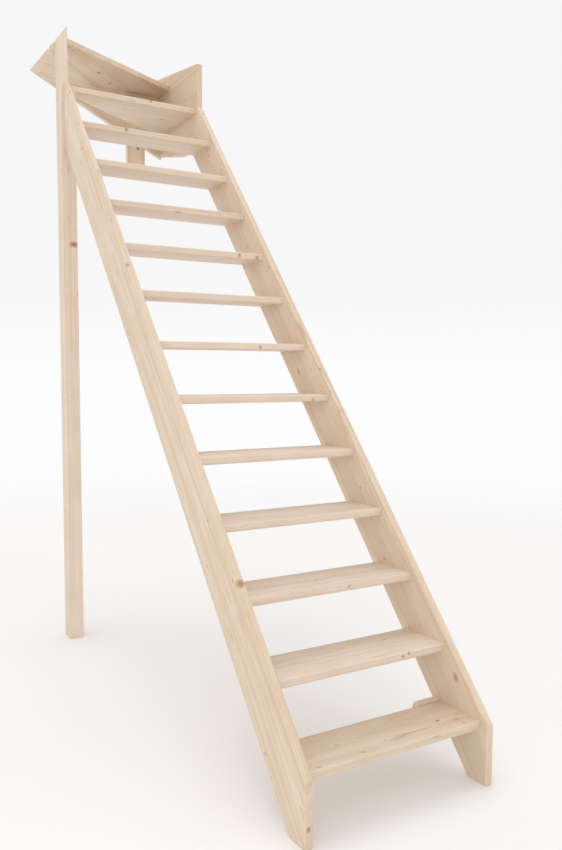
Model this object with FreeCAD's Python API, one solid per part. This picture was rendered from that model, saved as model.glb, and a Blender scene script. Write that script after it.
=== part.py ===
import FreeCAD, Part
import math
import os

# Space-saver attic stair in unfinished softwood: a straight open flight of twelve
# treads between two stringers, two winder treads that turn left at the top, a newel
# post on the inner corner and two winder boards round the outer corner.
# Millimetres. X runs across the flight, Y the way it climbs, Z up. While it is drawn,
# X is 0 at the left stringer's inner face and Y is 0 at the first tread's nosing.
# Every piece is moved to the centre of the footprint when it is written.

# ---- flight ----
rise = 200.0
going = 170.0
straight_treads = 12
inner_width = 646.0
tread_depth = 190.0
tread_thickness = 27.0
nosing_radius = 5.0
housing_depth = 12.0

# ---- stringers ----
stringer_thickness = 27.0
stringer_width = 187.0
stringer_lead = 26.0
foot_lead = 31.0

# ---- newel post ----
newel_width = 66.0
newel_depth = 82.0
newel_proud = 13.0
newel_upper_width = 34.0
exit_overhang = 7.0
top_bevel_slope = 1.317

# ---- winder treads ----
first_winder_lead = 20.0
first_winder_inner_depth = 39.0
first_winder_corner_gap = 6.0
second_winder_turn = 343.0
second_winder_back_start = 327.0

# ---- winder boards ----
board_thickness = 27.0
board_joint_lead = 24.0
turn_depth = 398.0
right_board_front_height = 210.0
right_board_top_slope = 0.13
right_board_bottom_flat = 134.0
right_board_bottom_height = 3.0
right_board_bottom_slope = 0.21
back_board_corner_top = 44.0
back_board_corner_bottom = 146.0
back_board_top_slope = 0.117

# ---- small timber pieces ----
batten_width = 98.0
batten_thickness = 27.0
batten_from_corner = 97.0
batten_top_gap = 33.0
batten_drop = 46.0
block_length = 98.0
block_thickness = 18.0
block_height = 36.0
block_proud = 9.0

# ---- dowels, screws and plugs ----
glue_gap = 0.05
tread_dowel_radius = 4.0
tread_dowel_length = 38.0
tread_dowel_in_board = 8.0
tread_dowel_inset = 45.0
joint_dowel_radius = 6.0
joint_dowel_length = 80.0
joint_dowel_count = 2
joint_dowel_margin = 45.0
joint_dowel_tread_gap = 5.0
screw_radius = 4.0
screw_head_radius = 8.0
screw_head_height = 5.0
newel_screw_bite = 70.0
corner_screw_length = 70.0
corner_screw_count = 3
corner_screw_margin = 55.0
corner_screw_tread_gap = 13.5
batten_screw_length = 45.0
batten_screw_margin = 25.0
batten_screw_radius = 2.5
batten_head_radius = 5.0
batten_head_height = 3.0
plug_length = 6.0

# ---- derived places ----
slope = rise / going
pitch = math.atan2(rise, going)
stringer_run = stringer_width / math.sin(pitch)
winder_level = (straight_treads + 1) * rise
top_level = winder_level + rise
last_level = straight_treads * rise
last_back = (straight_treads - 1) * going + tread_depth
first_winder_front = last_back - first_winder_lead
joint_y = first_winder_front - board_joint_lead
newel_front = joint_y
newel_back = newel_front + newel_depth
newel_left = -stringer_thickness - newel_proud
newel_right = newel_left + newel_width
newel_upper_right = newel_left + newel_upper_width
shoulder_height = winder_level - tread_thickness
exit_x = newel_left - exit_overhang
outer_y = newel_back + turn_depth
right_x = inner_width + stringer_thickness
batten_right = inner_width - batten_from_corner
batten_left = batten_right - batten_width
across = FreeCAD.Vector(1, 0, 0)
along = FreeCAD.Vector(0, 1, 0)
middle = FreeCAD.Vector((exit_x + right_x) / 2, (outer_y + board_thickness - foot_lead) / 2, 0)


def upper_edge(y):
    """Height of the stringers' upper edge at a place along the flight."""
    return rise + (y + stringer_lead) * slope


def lower_edge(y):
    """Height of the stringers' lower edge at a place along the flight."""
    return rise + (y + stringer_lead - stringer_run) * slope


def back_board_bottom(x):
    """Height of the back board's bottom edge, which climbs towards the exit."""
    corner = winder_level - back_board_corner_bottom
    climb = (top_level - corner) / (inner_width - exit_x)
    return corner + climb * (inner_width - x)


def prism(points, direction):
    """Extrude a closed outline of points along a vector."""
    outline = Part.makePolygon(points + [points[0]])
    return Part.Face(outline).extrude(direction)


def side_board(points, x, thickness):
    """A board that stands across X, from its (y, z) outline."""
    outline = [FreeCAD.Vector(x, y, z) for y, z in points]
    return prism(outline, FreeCAD.Vector(thickness, 0, 0))


def flat_board(points, top):
    """A tread board from its (x, y) outline, with its top at the given height."""
    outline = [FreeCAD.Vector(x, y, top - tread_thickness) for x, y in points]
    return prism(outline, FreeCAD.Vector(0, 0, tread_thickness))


def round_front(shape, front_edge_points):
    """Round the two long edges of a tread's nosing, found by a point on each."""
    picked = []
    for edge in shape.Edges:
        for point in front_edge_points:
            if edge.distToShape(Part.Vertex(point))[0] < 1e-6 and edge.Length > newel_depth:
                picked.append(edge)
    return shape.makeFillet(nosing_radius, picked)


def straight_tread(index):
    """One straight tread with both ends long enough to sit in their housings."""
    front = (index - 1) * going
    top = index * rise
    ends = (-housing_depth, inner_width + housing_depth)
    outline = [(ends[0], front), (ends[1], front)]
    outline += [(ends[1], front + tread_depth), (ends[0], front + tread_depth)]
    middle_x = inner_width / 2
    nosing = [FreeCAD.Vector(middle_x, front, height) for height in (top, top - tread_thickness)]
    return round_front(flat_board(outline, top), nosing)


def first_winder():
    """The first winder tread: straight nosing, slanted back edge, one end on the newel."""
    housed_x = inner_width + housing_depth
    housed_y = outer_y + housing_depth
    inner_back = first_winder_front + first_winder_inner_depth
    outline = [
        (newel_upper_right, first_winder_front),
        (housed_x, first_winder_front),
        (housed_x, outer_y),
        (inner_width, outer_y),
        (inner_width, housed_y),
        (inner_width - first_winder_corner_gap, housed_y),
        (newel_upper_right, inner_back),
    ]
    middle_x = inner_width / 2
    heights = (winder_level, winder_level - tread_thickness)
    nosing = [FreeCAD.Vector(middle_x, first_winder_front, height) for height in heights]
    return round_front(flat_board(outline, winder_level), nosing)


def second_winder():
    """The top winder tread: slanted nosing, slanted back edge and the exit edge."""
    housed_x = inner_width + housing_depth
    housed_y = outer_y + housing_depth
    turn = second_winder_turn / (inner_width - newel_upper_right)
    nosing_end = newel_front + turn * (housed_x - newel_upper_right)
    back_left = outer_y - second_winder_back_start
    outline = [
        (newel_upper_right, newel_front),
        (housed_x, nosing_end),
        (housed_x, outer_y),
        (inner_width, outer_y),
        (inner_width, housed_y),
        (exit_x + second_winder_back_start + housing_depth, housed_y),
        (exit_x, back_left),
        (exit_x, newel_back),
        (newel_upper_right, newel_back),
    ]
    middle_x = (newel_upper_right + inner_width) / 2
    middle_y = newel_front + turn * (middle_x - newel_upper_right)
    heights = (top_level, top_level - tread_thickness)
    nosing = [FreeCAD.Vector(middle_x, middle_y, height) for height in heights]
    return round_front(flat_board(outline, top_level), nosing)


def rod(radius, start, direction, length):
    """A round bar or hole from a start point along a unit vector."""
    return Part.makeCylinder(radius, length, start, direction)


def screw(start, direction, length, radius, head_radius, head_height):
    """A countersunk wood screw whose flat head faces away from its direction."""
    head = Part.makeCone(head_radius, radius, head_height, start, direction)
    return head.fuse(rod(radius, start, direction, length))


def fasten(pieces, starts, direction, length, radius):
    """Drill the same row of round holes through several pieces."""
    holes = [rod(radius + glue_gap, start, direction, length) for start in starts]
    return [piece.cut(Part.makeCompound(holes)) for piece in pieces]


def tread_dowel_starts(index, side):
    """Where the two dowels of one tread end start, on the left or right side."""
    height = index * rise - tread_thickness / 2
    front = (index - 1) * going
    back = min(front + tread_depth, joint_y)
    if side == "left":
        x = -housing_depth - tread_dowel_in_board
    else:
        x = inner_width + housing_depth + tread_dowel_in_board - tread_dowel_length
    places = (front + tread_dowel_inset, back - tread_dowel_inset)
    return [FreeCAD.Vector(x, place, height) for place in places]


def winder_dowel_starts():
    """Dowels that hold the winder treads' right ends in the right winder board."""
    x = inner_width + housing_depth + tread_dowel_in_board - tread_dowel_length
    starts = []
    for level, front in ((winder_level, first_winder_front), (top_level, outer_y - tread_depth)):
        height = level - tread_thickness / 2
        for offset in (2 * tread_dowel_inset, tread_depth - tread_dowel_inset):
            starts.append(FreeCAD.Vector(x, front + offset, height))
    return starts


def spread(low, high, count):
    """Evenly spaced places from one limit to the other."""
    step = (high - low) / (count - 1)
    return [low + step * number for number in range(count)]


def export(name, shape):
    """Write one node, moved so that the origin is the footprint's centre."""
    placed = shape.copy()
    placed.translate(middle * -1)
    placed.exportStep("parts/" + name + ".step")


os.makedirs("parts", exist_ok=True)

# ---- boards as sawn ----
treads = [straight_tread(index) for index in range(1, straight_treads + 1)]
winder_13 = first_winder()
winder_14 = second_winder()

foot_back = stringer_run - stringer_lead - rise / slope
stringer_outline = [
    (foot_back, 0),
    (-foot_lead, 0),
    (-foot_lead, upper_edge(-foot_lead)),
    (joint_y, upper_edge(joint_y)),
    (joint_y, lower_edge(joint_y)),
]
left_stringer = side_board(stringer_outline, -stringer_thickness, stringer_thickness)
right_stringer = side_board(stringer_outline, inner_width, stringer_thickness)

board_bottom = last_level + right_board_bottom_height
flat_start = (board_bottom - rise) / slope + stringer_run - stringer_lead
flat_end = flat_start + right_board_bottom_flat
board_back = outer_y + board_thickness
board_top = winder_level + right_board_front_height
right_board_outline = [
    (joint_y, lower_edge(joint_y)),
    (flat_start, board_bottom),
    (flat_end, board_bottom),
    (board_back, board_bottom + right_board_bottom_slope * (board_back - flat_end)),
    (board_back, board_top + right_board_top_slope * (board_back - joint_y)),
    (joint_y, board_top),
]
right_winder_board = side_board(right_board_outline, inner_width, board_thickness)

# The exit end is sawn on the same slant as the newel's top, from the top tread's edge.
corner_top = top_level + back_board_corner_top
slant_gap = corner_top + back_board_top_slope * (inner_width - exit_x) - top_level
slant_x = exit_x + slant_gap / (top_bevel_slope + back_board_top_slope)
slant_top = top_level + top_bevel_slope * (slant_x - exit_x)
back_outline = [
    (exit_x, top_level),
    (inner_width + housing_depth, back_board_bottom(inner_width + housing_depth)),
    (inner_width + housing_depth, corner_top - back_board_top_slope * housing_depth),
    (slant_x, slant_top),
]
back_points = [FreeCAD.Vector(x, outer_y, z) for x, z in back_outline]
back_winder_board = prism(back_points, FreeCAD.Vector(0, board_thickness, 0))

# The newel is one length of timber, thinned above the shoulder that carries a tread.
newel_section = [
    (newel_left, 0),
    (newel_right, 0),
    (newel_right, shoulder_height),
    (newel_upper_right, shoulder_height),
    (newel_upper_right, top_level + top_bevel_slope * (newel_upper_right - exit_x)),
    (newel_left, top_level + top_bevel_slope * (newel_left - exit_x)),
]
newel_points = [FreeCAD.Vector(x, newel_front, z) for x, z in newel_section]
newel_post = prism(newel_points, FreeCAD.Vector(0, newel_depth, 0))

batten_bottom = last_level - batten_drop
batten_top = top_level - tread_thickness - batten_top_gap
batten_corner = FreeCAD.Vector(batten_left, outer_y - batten_thickness, batten_bottom)
hanging_batten = Part.makeBox(
    batten_width, batten_thickness, batten_top - batten_bottom, batten_corner
)

block_outline = [
    (inner_width - block_length, rise + block_proud - block_height),
    (inner_width, rise + block_proud - block_height),
    (inner_width, rise + block_proud),
    (inner_width - block_length + block_proud, rise + block_proud),
    (inner_width - block_length, rise),
]
block_points = [FreeCAD.Vector(x, tread_depth, z) for x, z in block_outline]
rear_glue_block = prism(block_points, FreeCAD.Vector(0, block_thickness, 0))

# ---- housings: each board is cut by what sits in it ----
treads[-1] = treads[-1].cut(newel_post)
for tread in treads:
    left_stringer = left_stringer.cut(tread)
    right_stringer = right_stringer.cut(tread)
right_winder_board = right_winder_board.cut(treads[-1])
for winder in (winder_13, winder_14):
    right_winder_board = right_winder_board.cut(winder)
    back_winder_board = back_winder_board.cut(winder)
right_winder_board = right_winder_board.cut(back_winder_board)

# ---- tread dowels ----
dowels = {"left": [], "right": []}
for side in dowels:
    for index in range(1, straight_treads + 1):
        starts = tread_dowel_starts(index, side)
        holders = [treads[index - 1], left_stringer if side == "left" else right_stringer]
        drilled = fasten(holders, starts, across, tread_dowel_length, tread_dowel_radius)
        treads[index - 1] = drilled[0]
        if side == "left":
            left_stringer = drilled[1]
        else:
            right_stringer = drilled[1]
        dowels[side] += [
            rod(tread_dowel_radius, start, across, tread_dowel_length) for start in starts
        ]
winder_starts = winder_dowel_starts()
winder_dowels = [
    rod(tread_dowel_radius, start, across, tread_dowel_length) for start in winder_starts
]
winder_13, winder_14, right_winder_board = fasten(
    [winder_13, winder_14, right_winder_board],
    winder_starts,
    across,
    tread_dowel_length,
    tread_dowel_radius,
)

# ---- dowels across the plumb joint of the right stringer and the winder board ----
# They stay between the last straight tread and the underside of the first winder tread.
board_mid_x = inner_width + board_thickness / 2
joint_low = last_level + joint_dowel_margin
joint_high = min(
    upper_edge(joint_y) - joint_dowel_margin,
    shoulder_height - joint_dowel_radius - joint_dowel_tread_gap,
)
joint_starts = [
    FreeCAD.Vector(board_mid_x, joint_y - joint_dowel_length / 2, height)
    for height in spread(joint_low, joint_high, joint_dowel_count)
]
joint_dowels = [
    rod(joint_dowel_radius, start, along, joint_dowel_length) for start in joint_starts
]
right_stringer, right_winder_board = fasten(
    [right_stringer, right_winder_board],
    joint_starts,
    along,
    joint_dowel_length,
    joint_dowel_radius,
)

# ---- screws from the newel's back face into the left stringer's end ----
# One is below the last straight tread and one above it.
newel_screws = []
newel_plugs = []
newel_screw_length = newel_depth - plug_length + newel_screw_bite
newel_heights = (
    (lower_edge(newel_front) + last_level - tread_thickness) / 2,
    (last_level + upper_edge(newel_front - newel_screw_bite)) / 2,
)
for height in newel_heights:
    mouth = FreeCAD.Vector(-stringer_thickness / 2, newel_back, height)
    seat = mouth - along * plug_length
    newel_screws.append(
        screw(seat, along * -1, newel_screw_length, screw_radius, screw_head_radius,
              screw_head_height)
    )
    newel_plugs.append(rod(screw_head_radius, mouth, along * -1, plug_length))
    newel_post = newel_post.cut(rod(screw_head_radius + glue_gap, mouth, along * -1, plug_length))
    clearance = screw(seat, along * -1, newel_screw_length, screw_radius + glue_gap,
                      screw_head_radius + glue_gap, screw_head_height)
    newel_post = newel_post.cut(clearance)
    left_stringer = left_stringer.cut(clearance)

# ---- screws through the right winder board into the back board's end ----
# One is below the first winder tread, and the others share the height above it.
corner_screws = []
corner_plugs = []
corner_low = winder_level + corner_screw_tread_gap
corner_high = top_level - tread_thickness - corner_screw_margin
corner_heights = spread(corner_low, corner_high, corner_screw_count - 1)
for height in [back_board_bottom(inner_width) + corner_screw_margin] + corner_heights:
    mouth = FreeCAD.Vector(right_x, outer_y + board_thickness / 2, height)
    seat = mouth - across * plug_length
    corner_screws.append(
        screw(seat, across * -1, corner_screw_length, screw_radius, screw_head_radius,
              screw_head_height)
    )
    corner_plugs.append(rod(screw_head_radius, mouth, across * -1, plug_length))
    right_winder_board = right_winder_board.cut(
        rod(screw_head_radius + glue_gap, mouth, across * -1, plug_length)
    )
    clearance = screw(seat, across * -1, corner_screw_length, screw_radius + glue_gap,
                      screw_head_radius + glue_gap, screw_head_height)
    right_winder_board = right_winder_board.cut(clearance)
    back_winder_board = back_winder_board.cut(clearance)

# ---- screws through the hanging batten into the back board ----
batten_screws = []
batten_low = back_board_bottom(batten_left) + batten_screw_margin
for height in (batten_low, batten_top - batten_screw_margin):
    face = FreeCAD.Vector(batten_left + batten_width / 2, outer_y - batten_thickness, height)
    batten_screws.append(
        screw(face, along, batten_screw_length, batten_screw_radius, batten_head_radius,
              batten_head_height)
    )
    clearance = screw(face, along, batten_screw_length, batten_screw_radius + glue_gap,
                      batten_head_radius + glue_gap, batten_head_height)
    hanging_batten = hanging_batten.cut(clearance)
    back_winder_board = back_winder_board.cut(clearance)

# ---- write every node ----
export("left_stringer", left_stringer)
export("right_stringer", right_stringer)
export("newel_post", newel_post)
for index, tread in enumerate(treads, start=1):
    export(f"tread_{index:02d}", tread)
export("winder_tread_13", winder_13)
export("winder_tread_14", winder_14)
export("right_winder_board", right_winder_board)
export("back_winder_board", back_winder_board)
export("hanging_batten", hanging_batten)
export("rear_glue_block", rear_glue_block)
export("left_tread_dowels", Part.makeCompound(dowels["left"]))
export("right_tread_dowels", Part.makeCompound(dowels["right"]))
export("winder_tread_dowels", Part.makeCompound(winder_dowels))
export("stringer_joint_dowels", Part.makeCompound(joint_dowels))
export("newel_screws", Part.makeCompound(newel_screws))
export("newel_screw_plugs", Part.makeCompound(newel_plugs))
export("corner_screws", Part.makeCompound(corner_screws))
export("corner_screw_plugs", Part.makeCompound(corner_plugs))
export("batten_screws", Part.makeCompound(batten_screws))
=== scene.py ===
"""A space-saver attic stair in unfinished spruce, set up on a plain pale studio floor.

Metres, Z up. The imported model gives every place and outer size; the few sizes that its
boxes can't give, such as a slope or the width of a slanted board, are fields of the classes.
"""
import logging
import math
from collections.abc import Callable, Iterator
from contextlib import contextmanager
from dataclasses import dataclass, field, replace
from enum import Enum
from functools import cache

import bpy
from bpy.types import Material, Modifier, Node, NodeSocket as Socket, NodeTree, Object as Piece
from mathutils import Matrix, Vector


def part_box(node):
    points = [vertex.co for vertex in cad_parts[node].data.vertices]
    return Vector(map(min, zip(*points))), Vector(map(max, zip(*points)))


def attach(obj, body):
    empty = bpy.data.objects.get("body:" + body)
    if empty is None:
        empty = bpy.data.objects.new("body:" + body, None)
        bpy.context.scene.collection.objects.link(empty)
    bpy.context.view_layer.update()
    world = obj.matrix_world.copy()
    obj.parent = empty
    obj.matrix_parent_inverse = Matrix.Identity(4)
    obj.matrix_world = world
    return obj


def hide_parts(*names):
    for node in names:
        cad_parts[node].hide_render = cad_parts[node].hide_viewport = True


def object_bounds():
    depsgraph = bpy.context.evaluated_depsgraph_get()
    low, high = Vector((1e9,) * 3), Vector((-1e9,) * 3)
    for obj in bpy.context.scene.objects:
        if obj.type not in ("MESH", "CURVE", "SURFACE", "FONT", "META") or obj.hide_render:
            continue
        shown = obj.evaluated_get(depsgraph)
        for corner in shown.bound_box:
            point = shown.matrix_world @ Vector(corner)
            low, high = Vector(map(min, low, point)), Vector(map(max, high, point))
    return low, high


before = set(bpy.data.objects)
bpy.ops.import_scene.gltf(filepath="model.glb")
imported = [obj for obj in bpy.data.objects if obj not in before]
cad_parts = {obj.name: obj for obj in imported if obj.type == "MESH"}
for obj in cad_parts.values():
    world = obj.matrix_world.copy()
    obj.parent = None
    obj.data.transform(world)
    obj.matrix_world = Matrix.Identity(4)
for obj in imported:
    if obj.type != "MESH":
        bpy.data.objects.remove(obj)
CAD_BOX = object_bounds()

log = logging.getLogger("attic_stair")

Input = Socket | float | tuple[float, ...]
Test = Callable[[list[Vector]], bool]
Colour = tuple[float, float, float, float]

ACROSS = Vector((1, 0, 0))
CLIMB = Vector((0, 1, 0))
UP = Vector((0, 0, 1))
EVERY_WAY = ACROSS + CLIMB + UP
TINY = 1e-5
OVERCUT = 0.01
NEWEL_UPPER_WIDTH = 0.034
EXIT_SLOPE = 1.317


class Slot(Enum):
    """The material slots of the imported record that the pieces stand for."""

    STRINGER = "stringer_wood"
    TREAD = "tread_wood"
    NEWEL = "newel_wood"
    WINDER_BOARD = "winder_board_wood"
    BATTEN = "batten_wood"
    DOWEL = "dowel_wood"
    PLUG = "plug_wood"
    SCREW = "screw_steel"


def paint(red: int, green: int, blue: int) -> Colour:
    """Turn a display colour, 0 to 255 a channel, into a linear colour for a shader.

    Args:
        red: Its red, 0 to 255.
        green: Its green, 0 to 255.
        blue: Its blue, 0 to 255.

    Returns:
        The linear colour, opaque.
    """
    linear = [
        value / 12.92 if value <= 0.04045 else ((value + 0.055) / 1.055) ** 2.4
        for value in (red / 255, green / 255, blue / 255)
    ]
    return (linear[0], linear[1], linear[2], 1.0)


# ---- Woodwork: the few operations that every board is made with ----


def choose(*pieces: Piece) -> None:
    """Select these pieces alone and make the first one active.

    Args:
        pieces: The pieces, with the one to make active first.
    """
    bpy.ops.object.select_all(action="DESELECT")
    for piece in pieces:
        piece.select_set(True)
    bpy.context.view_layer.objects.active = pieces[0]


@contextmanager
def editing(piece: Piece, kind: str = "FACE") -> Iterator[None]:
    """Open a piece in edit mode, to select VERT, EDGE or FACE in it, and close it again.

    Args:
        piece: The piece to work on.
        kind: VERT, EDGE or FACE.

    Returns:
        Nothing, while the piece stays open.
    """
    choose(piece)
    kinds = ("VERT", "EDGE", "FACE")
    bpy.context.tool_settings.mesh_select_mode = [kind == name for name in kinds]
    bpy.ops.object.mode_set(mode="EDIT")
    yield
    bpy.ops.object.mode_set(mode="OBJECT")


def pick(piece: Piece, kind: str, test: Test) -> None:
    """Select the VERT, EDGE or FACE parts whose corners' places pass a test, and only those.

    Args:
        piece: The piece to work on.
        kind: VERT, EDGE or FACE.
        test: Tells from the places of a part's corners if it is meant.
    """
    mesh = piece.data
    for part in (*mesh.vertices, *mesh.edges, *mesh.polygons):
        part.select = False
    if kind == "VERT":
        for vertex in mesh.vertices:
            vertex.select = test([vertex.co])
        return
    for part in mesh.edges if kind == "EDGE" else mesh.polygons:
        part.select = test([mesh.vertices[index].co for index in part.vertices])


def primitive(kind: str, **settings: object) -> Piece:
    """Add a primitive mesh of some kind, with its place and its turn in its mesh.

    Args:
        kind: The end of the operator's name, such as cube or cylinder.
        settings: The operator's own settings.

    Returns:
        The new piece.
    """
    bpy.ops.object.select_all(action="DESELECT")
    getattr(bpy.ops.mesh, f"primitive_{kind}_add")(**settings)
    bpy.ops.object.transform_apply(location=True, rotation=True, scale=True)
    return bpy.context.active_object


def plank(name: str, low: Vector, high: Vector) -> Piece:
    """Saw a blank from its lowest corner to its highest, with its place in its mesh.

    Args:
        name: The piece's name.
        low: Its lowest corner.
        high: Its highest corner.

    Returns:
        The blank.
    """
    piece = primitive("cube", size=1, location=(low + high) / 2, scale=high - low)
    piece.name = piece.data.name = name
    return piece


def saw(piece: Piece, point: Vector, waste: Vector) -> None:
    """Cut a piece at a point, square to the waste's direction, and drop the waste.

    Args:
        piece: The piece to work on.
        point: A point that the cut goes through.
        waste: The direction in which the waste lies.
    """
    with editing(piece):
        bpy.ops.mesh.select_all(action="SELECT")
        bpy.ops.mesh.bisect(
            plane_co=point, plane_no=waste.normalized(), use_fill=True, clear_outer=True
        )


def mark_out(piece: Piece, point: Vector, normal: Vector) -> None:
    """Divide a piece's faces along a plane and keep both sides.

    Args:
        piece: The piece to work on.
        point: A point on the plane.
        normal: The plane's normal.
    """
    with editing(piece):
        bpy.ops.mesh.select_all(action="SELECT")
        bpy.ops.mesh.bisect(plane_co=point, plane_no=normal)


def shift(piece: Piece, test: Test, offset: Vector) -> None:
    """Move the corners of a piece that pass a test.

    Args:
        piece: The piece to work on.
        test: Tells which corners move.
        offset: How far they move.
    """
    pick(piece, "VERT", test)
    with editing(piece, "VERT"):
        bpy.ops.transform.translate(value=offset)


def round_over(piece: Piece, test: Test, radius: float) -> None:
    """Round the edges that pass a test, as a nosing is rounded.

    Args:
        piece: The piece to work on.
        test: Tells which edges are rounded.
        radius: The radius of the rounding.
    """
    pick(piece, "EDGE", test)
    with editing(piece, "EDGE"):
        bpy.ops.mesh.bevel(offset=radius, segments=6, profile=0.5, affect="EDGES")


def apply(piece: Piece, modifier: Modifier) -> None:
    """Apply one modifier to a piece."""
    choose(piece)
    bpy.ops.object.modifier_apply(modifier=modifier.name)


def ease(piece: Piece, width: float) -> None:
    """Take the sharpness off every edge that still turns a corner.

    Args:
        piece: The piece to work on.
        width: The width of the bevel.
    """
    bevel = piece.modifiers.new("eased", "BEVEL")
    bevel.width = width
    bevel.segments = 3
    bevel.limit_method = "ANGLE"
    bevel.angle_limit = math.radians(35)
    bevel.use_clamp_overlap = True
    apply(piece, bevel)


def carve(piece: Piece, *tools: Piece | str) -> None:
    """Take the shapes of other pieces, or of named CAD nodes, out of a piece.

    Args:
        piece: The piece to work on.
        tools: The pieces, or the names of the nodes, whose shapes are taken out.
    """
    for tool in tools:
        shape = node_copy(tool) if isinstance(tool, str) else tool
        cut = piece.modifiers.new("cut", "BOOLEAN")
        cut.operation = "DIFFERENCE"
        cut.solver = "EXACT"
        cut.object = shape
        apply(piece, cut)
        if shape is not tool:
            bpy.data.objects.remove(shape)


def node_copy(name: str) -> Piece:
    """Copy a CAD node's shape as one closed mesh.

    Args:
        name: The CAD node's name.

    Returns:
        The copy, closed and merged.
    """
    shape = bpy.data.objects.new(name + "_shape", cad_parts[name].data.copy())
    bpy.context.scene.collection.objects.link(shape)
    with editing(shape, "VERT"):
        bpy.ops.mesh.select_all(action="SELECT")
        bpy.ops.mesh.remove_doubles(threshold=TINY)
    return shape


def notch(piece: Piece, low: Vector, high: Vector) -> None:
    """Saw a square corner out of a piece.

    Args:
        piece: The piece to work on.
        low: The corner's lowest place.
        high: Its highest place.
    """
    waste = plank("waste", low, high)
    carve(piece, waste)
    bpy.data.objects.remove(waste)


def in_plane(point: Vector, normal: Vector) -> Test:
    """Make a test for the parts that lie in a plane."""
    return lambda corners: all(abs((corner - point).dot(normal)) < TINY for corner in corners)


def in_nosing(point: Vector, front: Vector) -> Test:
    """Make a test for the edges that run across the stair in a nosing's plane."""
    flat = in_plane(point, front)
    return lambda ends: abs(ends[0].x - ends[1].x) > TINY and flat(ends)


def finish(piece: Piece) -> None:
    """Mark the narrow faces of the eased edges and smooth the shading over them.

    Args:
        piece: The piece to work on.
    """
    mesh = piece.data
    # the arris mask feeds the painted highlight along the eased edges
    arris = mesh.attributes.new("arris", "FLOAT", "FACE")
    widest = 0.0016
    for face in mesh.polygons:
        corners = [mesh.vertices[index].co for index in face.vertices]
        longest = max((a - b).length for a, b in zip(corners, corners[1:] + corners[:1]))
        arris.data[face.index].value = float(face.area < longest * widest)
    choose(piece)
    bpy.ops.object.shade_smooth_by_angle(angle=math.radians(32))
    weighted = piece.modifiers.new("weighted", "WEIGHTED_NORMAL")
    weighted.keep_sharp = True
    apply(piece, weighted)


def hand_over(piece: Piece, nodes: list[str], slot: Slot, material: Material) -> None:
    """Finish a piece, dress it and give it to the frame in place of its CAD nodes.

    Args:
        piece: The piece to work on.
        nodes: The CAD nodes that it takes the place of.
        slot: The material slot it stands for.
        material: Its finish.
    """
    finish(piece)
    piece.data.materials.clear()
    piece.data.materials.append(material)
    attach(piece, "root")
    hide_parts(*nodes)
    piece.data.calc_loop_triangles()
    log.info("%s: %d triangles, %s", piece.name, len(piece.data.loop_triangles), slot.value)


# ---- Shader graphs ----


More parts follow.
